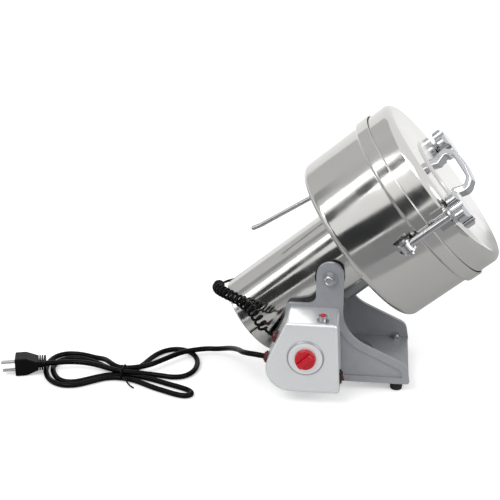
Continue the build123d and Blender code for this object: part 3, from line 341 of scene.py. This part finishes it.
# %% Supply cord route
CORD_RADIUS = 3.6
LOW = 3.75
HIGH = 11.2
supply_points = [
    (-80.6, -100, 56.8), (-90, -100, 58.3), (-99, -96.3, 57.4), (-107, -88.5, 54.4),
    (-113.5, -76, 49.6), (-119, -57, 42.2), (-127.5, -36, 33.2), (-136.5, -17, 24.3),
    (-147, -3.6, 16.8), (-159, 3, 12), (-172.9, 4, 11.2), (-186.1, -0.7, HIGH), (-204, -10, HIGH),
    (-217, -24, HIGH), (-230, -41, HIGH), (-242, -56, HIGH), (-257, -65, HIGH),
    (-275, -70.5, HIGH), (-288, -66, HIGH), (-299, -55, HIGH),
    # the wide loop on the left
    (-310, -40, 8), (-325, -30, LOW), (-346, -22, LOW), (-366, -21, LOW), (-379, -28, LOW),
    (-386, -42, LOW), (-387, -60, LOW), (-383, -79, LOW), (-374, -97, LOW), (-362, -109, LOW),
    (-347, -115, LOW), (-330, -112, LOW), (-314, -100, LOW), (-299, -88, LOW), (-285, -84, LOW),
    (-275, -84, LOW),
    # the narrow loop at the lower right
    (-258, -88, LOW), (-243, -96, LOW), (-226, -106, LOW), (-208, -114, LOW), (-192, -121, LOW),
    (-180, -123, LOW), (-173, -117, LOW), (-177, -108, LOW), (-190, -101, LOW), (-208, -94, LOW),
    (-228, -85, LOW), (-248, -78.5, LOW), (-264, -75.5, LOW), (-275, -75, LOW),
    # the smaller loop on the left, inside the wide one
    (-290, -76, LOW), (-305, -83, LOW), (-319, -93, LOW), (-333, -103, LOW), (-347, -105, LOW),
    (-359, -99, LOW), (-368, -87, LOW), (-376, -70, LOW), (-377, -54, LOW), (-370, -41, LOW),
    (-356, -34, LOW), (-338, -36, LOW), (-320, -45, LOW), (-304, -56, LOW), (-290, -63.5, LOW),
    (-275, -66, LOW),
    # the wide loop at the upper right, and the last run to the plug
    (-262, -58, LOW), (-254, -40, LOW), (-248, -18, LOW), (-238, 1, LOW), (-222, 12, LOW),
    (-204, 10, LOW), (-189, -4, LOW), (-181, -26, LOW), (-181, -50, LOW), (-190, -68, LOW),
    (-206, -74, LOW), (-224, -71, LOW), (-242, -70.5, LOW + 1), (-258, -76, 8.5),
    (-275, -79.5, HIGH), (-294, -74, HIGH), (-314, -65, HIGH), (-334, -60, HIGH),
    (-356, -62.5, 12), (-370, -68.8, 12.8), (-383.7, -72.8, 12.8),
]
print("supply cord", len(supply_points), "points")

# %% [markdown]
# A NURBS spline bends smoothly by its control points, as a heavy cord does. Its length is taken
# from its own centreline, which Blender gives when the cord's thickness is off for a moment.

# %% Supply cord
def smooth_line(name, points, radius):
    """A cord on one NURBS spline by chosen control points, in millimetres off the pivot."""
    curve = bpy.data.curves.new(name, "CURVE")
    curve.dimensions = "3D"
    spline = curve.splines.new("NURBS")
    spline.points.add(len(points) - 1)
    for control, point in zip(spline.points, points):
        control.co = (*place(*point), 1.0)
    spline.order_u = 3
    spline.use_endpoint_u = True
    spline.resolution_u = 8
    curve.bevel_depth = radius / 1000
    curve.bevel_resolution = 6
    curve.use_fill_caps = True
    line = bpy.data.objects.new(name, curve)
    bpy.context.scene.collection.objects.link(line)
    return line


def centreline(line):
    """The points of a cord's spline, read with its thickness taken off."""
    depth = line.data.bevel_depth
    line.data.bevel_depth = 0
    bpy.context.view_layer.update()
    mesh = bpy.data.meshes.new_from_object(line)
    points = [v.co.copy() for v in mesh.vertices]
    bpy.data.meshes.remove(mesh)
    line.data.bevel_depth = depth
    bpy.context.view_layer.update()
    return points


def run_length(points):
    """The length of a line through points."""
    return sum((b - a).length for a, b in zip(points, points[1:]))


supply_cord = smooth_line("supply_cord", supply_points, CORD_RADIUS)
supply_length = run_length(centreline(supply_cord))
print("supply cord", round(supply_length, 3), "m")

# %% [markdown]
# ## The cords' rubber
# Rubber on a cord is smoother than on a foot, because it is drawn through a die: a soft gloss with
# a slight unevenness along its length. A low specular level keeps it black in a white room.

# %% Cord rubber
cord_rubber = make_moulded("extruded cord rubber", "#050506", 0.28, 3.0, 0.12, specular=0.1)
supply_cord.data.materials.append(cord_rubber)
finish_nodes(cord_rubber, "plug_body")
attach(supply_cord, "base")
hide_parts("mains_cord", "mains_hank")

# %% [markdown]
# ## The wire tie
# The folded cord is held by a plastic-covered wire tie, wound twice round the waist of the bow and
# twisted off to one side. The wire is stiff enough to keep its bends, so it is drawn as one more
# spline just outside the cords that it holds, and then made a mesh.

# %% Wire tie
TIE_RADIUS = 1.1
tie_points = [
    (-278, -72, 15.8), (-278, -63.5, 13), (-277.5, -61, 5), (-277, -63, 1.3), (-277, -75, 1.2),
    (-276.5, -87, 1.3), (-276, -89, 5), (-275.5, -86, 12), (-275, -82, 15.6), (-274.5, -75, 16),
    (-274, -68, 15.6), (-274, -63.5, 12), (-273.5, -61, 5), (-273, -63, 1.3), (-272.5, -75, 1.2),
    (-272, -87, 1.3), (-271.5, -90, 5), (-270, -92, 8.5), (-267, -95, 7), (-263, -99, 3.5),
    (-258, -103, 1.5), (-254, -105.5, 1.4),
]
wire_tie = smooth_line("wire_tie", tie_points, TIE_RADIUS)
print("wire tie", round(run_length(centreline(wire_tie)), 3), "m")
bpy.ops.object.select_all(action="DESELECT")
wire_tie.select_set(True)
bpy.context.view_layer.objects.active = wire_tie
bpy.ops.object.convert(target="MESH")
wire_tie = bpy.context.object
wire_tie.data.materials.clear()
wire_tie.data.materials.append(cord_rubber)
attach(wire_tie, "base")
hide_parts("hank_tie")

# %% [markdown]

# %% [markdown]
# ## The curly cord
# The head tilts, so its motor lead is a coiled one: a 3.6 mm lead wound into a loose spring 16 mm
# across, which runs from the box round to the far side of the tail. Its route is a smooth line by
# chosen points, and it ends at the head's gland, which it enters straight. The gland's place is
# given on the upright head, in millimetres from the pivot.

# %% Curly cord route
COIL_RADIUS = 6.2
WIRE_RADIUS = 1.8
COIL_PITCH = 8.6
GLAND_TURN = radians(100)
GLAND_HEIGHT = -116
GLAND_TIP = 63.2
GLAND_CLEAR = 73
curly_points = [
    (-70.5, -95, 85.2), (-79.4, -95, 89.2), (-90, -82, 101), (-104, -68, 110), (-122, -52, 114.5),
    (-139.5, -36.5, 115), (-152, -18, 112), (-157, 2, 108), (-155, 20, 104), (-153.5, 33.5, 101),
    (-146, 46, 100), (-130, 66, 97), (-112, 76, 95),
]


def to_route(point):
    """A frame point as millimetres off the pivot, the middle and the bench."""
    return (point.x * 1000 - PIVOT_X, point.y * 1000, point.z * 1000)


around_head = Matrix.Rotation(GLAND_TURN, 3, "Z")
for reach in (GLAND_CLEAR, GLAND_TIP):
    curly_points.append(to_route(on_head(*(around_head @ Vector((reach, 0, GLAND_HEIGHT))))))
curly_guide = smooth_line("curly_guide", curly_points, WIRE_RADIUS)
guide = centreline(curly_guide)
bpy.data.objects.remove(curly_guide)
print("curly cord's route", round(run_length(guide), 3), "m")

# %% [markdown]
# The coil goes round that line at even steps. At each step it needs two directions across the
# line, and these are carried along from one step to the next, which keeps them from twisting.

# %% Steps along a line
def even_steps(points, step):
    """Points spaced evenly along a line."""
    result = [points[0].copy()]
    left = step
    for a, b in zip(points, points[1:]):
        span = (b - a).length
        while span > 0 and left <= span:
            a = a.lerp(b, left / span)
            result.append(a.copy())
            span = (b - a).length
            left = step
        left -= span
    return result


def carried_frames(points):
    """A tangent and two directions across it at each point, carried along without twist."""
    last = len(points) - 1
    tangents = [(points[min(i + 1, last)] - points[max(i - 1, 0)]).normalized()
                for i in range(len(points))]
    side = tangents[0].orthogonal().normalized()
    frames = []
    for tangent in tangents:
        side = (side - tangent * side.dot(tangent)).normalized()
        frames.append((tangent, side, tangent.cross(side)))
    return frames


TURN_STEPS = 14
STEP = COIL_PITCH / 1000 / TURN_STEPS
steps = even_steps(guide, STEP)
print("curly cord's route", len(steps), "steps")

# %% [markdown]
# The coil opens out from a straight lead at the box and closes again on the far side of the tail.
# From there to the head's gland the lead is straight, and every sixth step is enough to draw it.

# %% Coil
STRAIGHT_LEAD = 0.010
COIL_END_Y = 0.020
RAMP = TURN_STEPS * 1.2
LEAD_STRIDE = 6
SAME_POINT = 0.0005
coil_first = int(STRAIGHT_LEAD / STEP)
coil_last = max(i for i, p in enumerate(steps) if p.y < COIL_END_Y)
coil_line = []
for i, (point, (tangent, side, other)) in enumerate(zip(steps, carried_frames(steps))):
    opening = max(0.0, (i - coil_first) / RAMP)
    closing = max(0.0, (coil_last - i) / RAMP)
    grown = min(1.0, opening, closing)
    angle = 2 * pi * i / TURN_STEPS
    reach = COIL_RADIUS / 1000 * grown * (2 - grown)
    coil_line.append(point + side * reach * cos(angle) + other * reach * sin(angle))
coil_line = coil_line[:coil_last] + coil_line[coil_last::LEAD_STRIDE]
if (coil_line[-1] - guide[-1]).length > SAME_POINT:
    coil_line.append(guide[-1])
print("curly cord", round(run_length(coil_line), 3), "m of wire in",
      round((coil_last - coil_first) / TURN_STEPS), "turns")

# %% [markdown]
# The wire is a round tube along the coil. Ten sides are enough for a lead this thin, as the coil
# repeats them at every step. Its rings are joined by quads, and its two ends are closed.

# %% Curly cord
WIRE_SIDES = 10


def tube_mesh(name, line, radius, sides):
    """A closed round tube along a line, as rings joined by quads."""
    mesh = bpy.data.meshes.new(name)
    work = bmesh.new()
    rings = []
    for point, (tangent, side, other) in zip(line, carried_frames(line)):
        ring = []
        for k in range(sides):
            angle = 2 * pi * k / sides
            across = side * radius * cos(angle) + other * radius * sin(angle)
            ring.append(work.verts.new(point + across))
        rings.append(ring)
    for first, second in zip(rings, rings[1:]):
        for k in range(sides):
            after = (k + 1) % sides
            work.faces.new((first[k], first[after], second[after], second[k]))
    work.faces.new(list(reversed(rings[0])))
    work.faces.new(rings[-1])
    bmesh.ops.recalc_face_normals(work, faces=work.faces)
    for face in work.faces:
        face.smooth = len(face.verts) == 4
    work.to_mesh(mesh)
    work.free()
    tube = bpy.data.objects.new(name, mesh)
    bpy.context.scene.collection.objects.link(tube)
    return tube


curly_lead = tube_mesh("curly_motor_lead", coil_line, WIRE_RADIUS / 1000, WIRE_SIDES)
curly_lead.data.materials.append(cord_rubber)
print("curly cord", len(curly_lead.data.polygons), "faces")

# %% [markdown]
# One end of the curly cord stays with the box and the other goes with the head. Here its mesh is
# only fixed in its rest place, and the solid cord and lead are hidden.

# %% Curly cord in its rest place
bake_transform(curly_lead)
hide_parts("curly_cord", "curly_lead")

# %% [markdown]
# ## Bench and room
# A pale bench runs away to a white room. Rays that show the background, seen straight or in a
# mirror or through glass, find both of them white; the others, which light the mill, find them
# plain, so the white costs no contrast and the bench keeps the mill's shadow.

# %% Bench and room
BENCH_SIZE = 12
BENCH_GAP = 0.0004  # under the feet, so that no two faces share a place
BENCH_LIFT = 0.36
ROOM_LIGHT = 0.74


def background_rays(tree):
    """1 for a ray that shows the background, and 0 for one that lights."""
    rays = add_node(tree, "ShaderNodeLightPath")
    seen = add_node(tree, "ShaderNodeMath", {"operation": "MAXIMUM"}, {
        0: rays.outputs["Is Camera Ray"], 1: rays.outputs["Is Glossy Ray"]})
    seen = add_node(tree, "ShaderNodeMath", {"operation": "MAXIMUM"}, {
        0: seen.outputs["Value"], 1: rays.outputs["Is Transmission Ray"]})
    return seen.outputs["Value"]


bpy.ops.mesh.primitive_plane_add(size=BENCH_SIZE, location=(0, 0, -BENCH_GAP))
bench = bpy.context.object
bench.name = "bench"
bench_paint = bpy.data.materials.new("pale bench")
bench_paint.use_nodes = True
tree = bench_paint.node_tree
tree.nodes.clear()
matte = add_node(tree, "ShaderNodeBsdfPrincipled", None, {
    "Base Color": linear("#f6f6f6"), "Roughness": 0.9})
lift = add_node(tree, "ShaderNodeEmission", None, {
    "Color": (1, 1, 1, 1), "Strength": BENCH_LIFT})
both = add_node(tree, "ShaderNodeAddShader", None, {
    0: matte.outputs["BSDF"], 1: lift.outputs["Emission"]})
either = add_node(tree, "ShaderNodeMixShader", None, {
    "Fac": background_rays(tree), 1: matte.outputs["BSDF"], 2: both.outputs["Shader"]})
add_node(tree, "ShaderNodeOutputMaterial", None, {"Surface": either.outputs["Shader"]})
bench.data.materials.append(bench_paint)

room = bpy.data.worlds.new("white room")
bpy.context.scene.world = room
room.use_nodes = True
tree = room.node_tree
tree.nodes.clear()
level = add_node(tree, "ShaderNodeMapRange", None, {
    "Value": background_rays(tree), "To Min": ROOM_LIGHT, "To Max": 1.0})
light = add_node(tree, "ShaderNodeBackground", None, {
    "Color": (1, 1, 1, 1), "Strength": level.outputs["Result"]})
add_node(tree, "ShaderNodeOutputWorld", None, {"Surface": light.outputs["Background"]})
print("bench", BENCH_SIZE, "m across, room light", ROOM_LIGHT)

# %% [markdown]
# ## Lamps
# Two broad soft lamps, one high on the operator's left and a weaker one on the right, add a little
# shape to the room's own light, which gives the painted pieces their plain colours.

# %% Lamps
LAMP_AIM = (0, 0, 0.15)


def soft_lamp(name, position, width, height, power):
    """A rectangular lamp turned to the mill."""
    lamp = bpy.data.lights.new(name, "AREA")
    lamp.shape = "RECTANGLE"
    lamp.size = width
    lamp.size_y = height
    lamp.energy = power
    holder = bpy.data.objects.new(name, lamp)
    holder.location = position
    towards = Vector(LAMP_AIM) - Vector(position)
    holder.rotation_euler = towards.to_track_quat("-Z", "Y").to_euler()
    bpy.context.scene.collection.objects.link(holder)
    print(name, power, "W")


soft_lamp("key lamp", (-0.9, -1.3, 1.7), 1.2, 0.9, 16)
soft_lamp("fill lamp", (1.5, -0.9, 1.1), 1.0, 1.0, 8)

# %% [markdown]
# ## Cards round the mill
# Polished steel shows what stands round it, and in a room that is white all over it would look
# flat. So dark and grey cards, one lit strip like a tall window, and grey cloths on the bench stand
# where only reflections find them, and give the bowl and the tube the bands that make them read as
# round. They neither light the mill nor shade it.

# %% Cards
CARD_AIM = (0.04, 0, 0.22)
CLOTH_HEIGHT = 0.0015


def card(name, position, width, height, shade, glow=0.0, flat=False):
    """A card that only reflections see, dark or lit, turned to the bowl or flat on the bench."""
    bpy.ops.mesh.primitive_plane_add(size=1)
    panel = bpy.context.object
    panel.name = name
    panel.scale = (width, height, 1)
    panel.location = position
    if not flat:
        towards = Vector(CARD_AIM) - Vector(position)
        panel.rotation_euler = towards.to_track_quat("-Z", "Y").to_euler()
    cloth = bpy.data.materials.new(name + " cloth")
    cloth.use_nodes = True
    feed(cloth.node_tree, cloth.node_tree.nodes["Principled BSDF"], Base_Color=linear(shade),
         Roughness=1.0, Emission_Color=(1, 1, 1, 1), Emission_Strength=glow)
    panel.data.materials.append(cloth)
    panel.visible_camera = False
    panel.visible_diffuse = False
    panel.visible_shadow = False
    print(name, width, "by", height, "m")


card("front dark card", (-0.95, -1.75, 0.45), 1.5, 0.62, "#303133")
card("left dark card", (-1.75, 0.05, 1.12), 0.4, 0.75, "#a6a7a9")
card("upper dark card", (-1.45, -1.05, 1.15), 0.35, 0.9, "#3c3d3f")
card("window strip", (-1.62, -0.62, 1.15), 0.26, 0.9, "#ffffff", 2.8)
card("high grey card", (-2.3, 0.9, 1.6), 3.2, 3.0, "#e2e2e2")
card("far bench cloth", (0.0, -1.8, CLOTH_HEIGHT), 3.6, 2.4, "#7f7f81", flat=True)
card("middle bench cloth", (0.0, -0.48, CLOTH_HEIGHT), 3.6, 0.24, "#a0a0a2", flat=True)
card("near bench cloth", (0.0, 0.42, CLOTH_HEIGHT), 3.6, 1.56, "#c2c2c2", flat=True)

# %% [markdown]
# ## Camera
# A long lens, a little above the bench, looks at the operator's side. Its place and its aim are in
# millimetres of the frame.

# %% Camera
CAMERA_PLACE = Vector((20.34, -1307.03, 662.37)) / 1000
CAMERA_AIM = Vector((-148.72, 0, 164.37)) / 1000
lens = bpy.data.cameras.new("camera")
lens.lens = 75.15
lens.sensor_width = 36
camera = bpy.data.objects.new("camera", lens)
camera.location = CAMERA_PLACE
camera.rotation_euler = (CAMERA_AIM - camera.location).to_track_quat("-Z", "Y").to_euler()
bpy.context.scene.collection.objects.link(camera)
bpy.context.scene.camera = camera
bpy.context.scene.view_settings.view_transform = "Standard"
print("camera", round((CAMERA_AIM - CAMERA_PLACE).length, 3), "m from its aim")
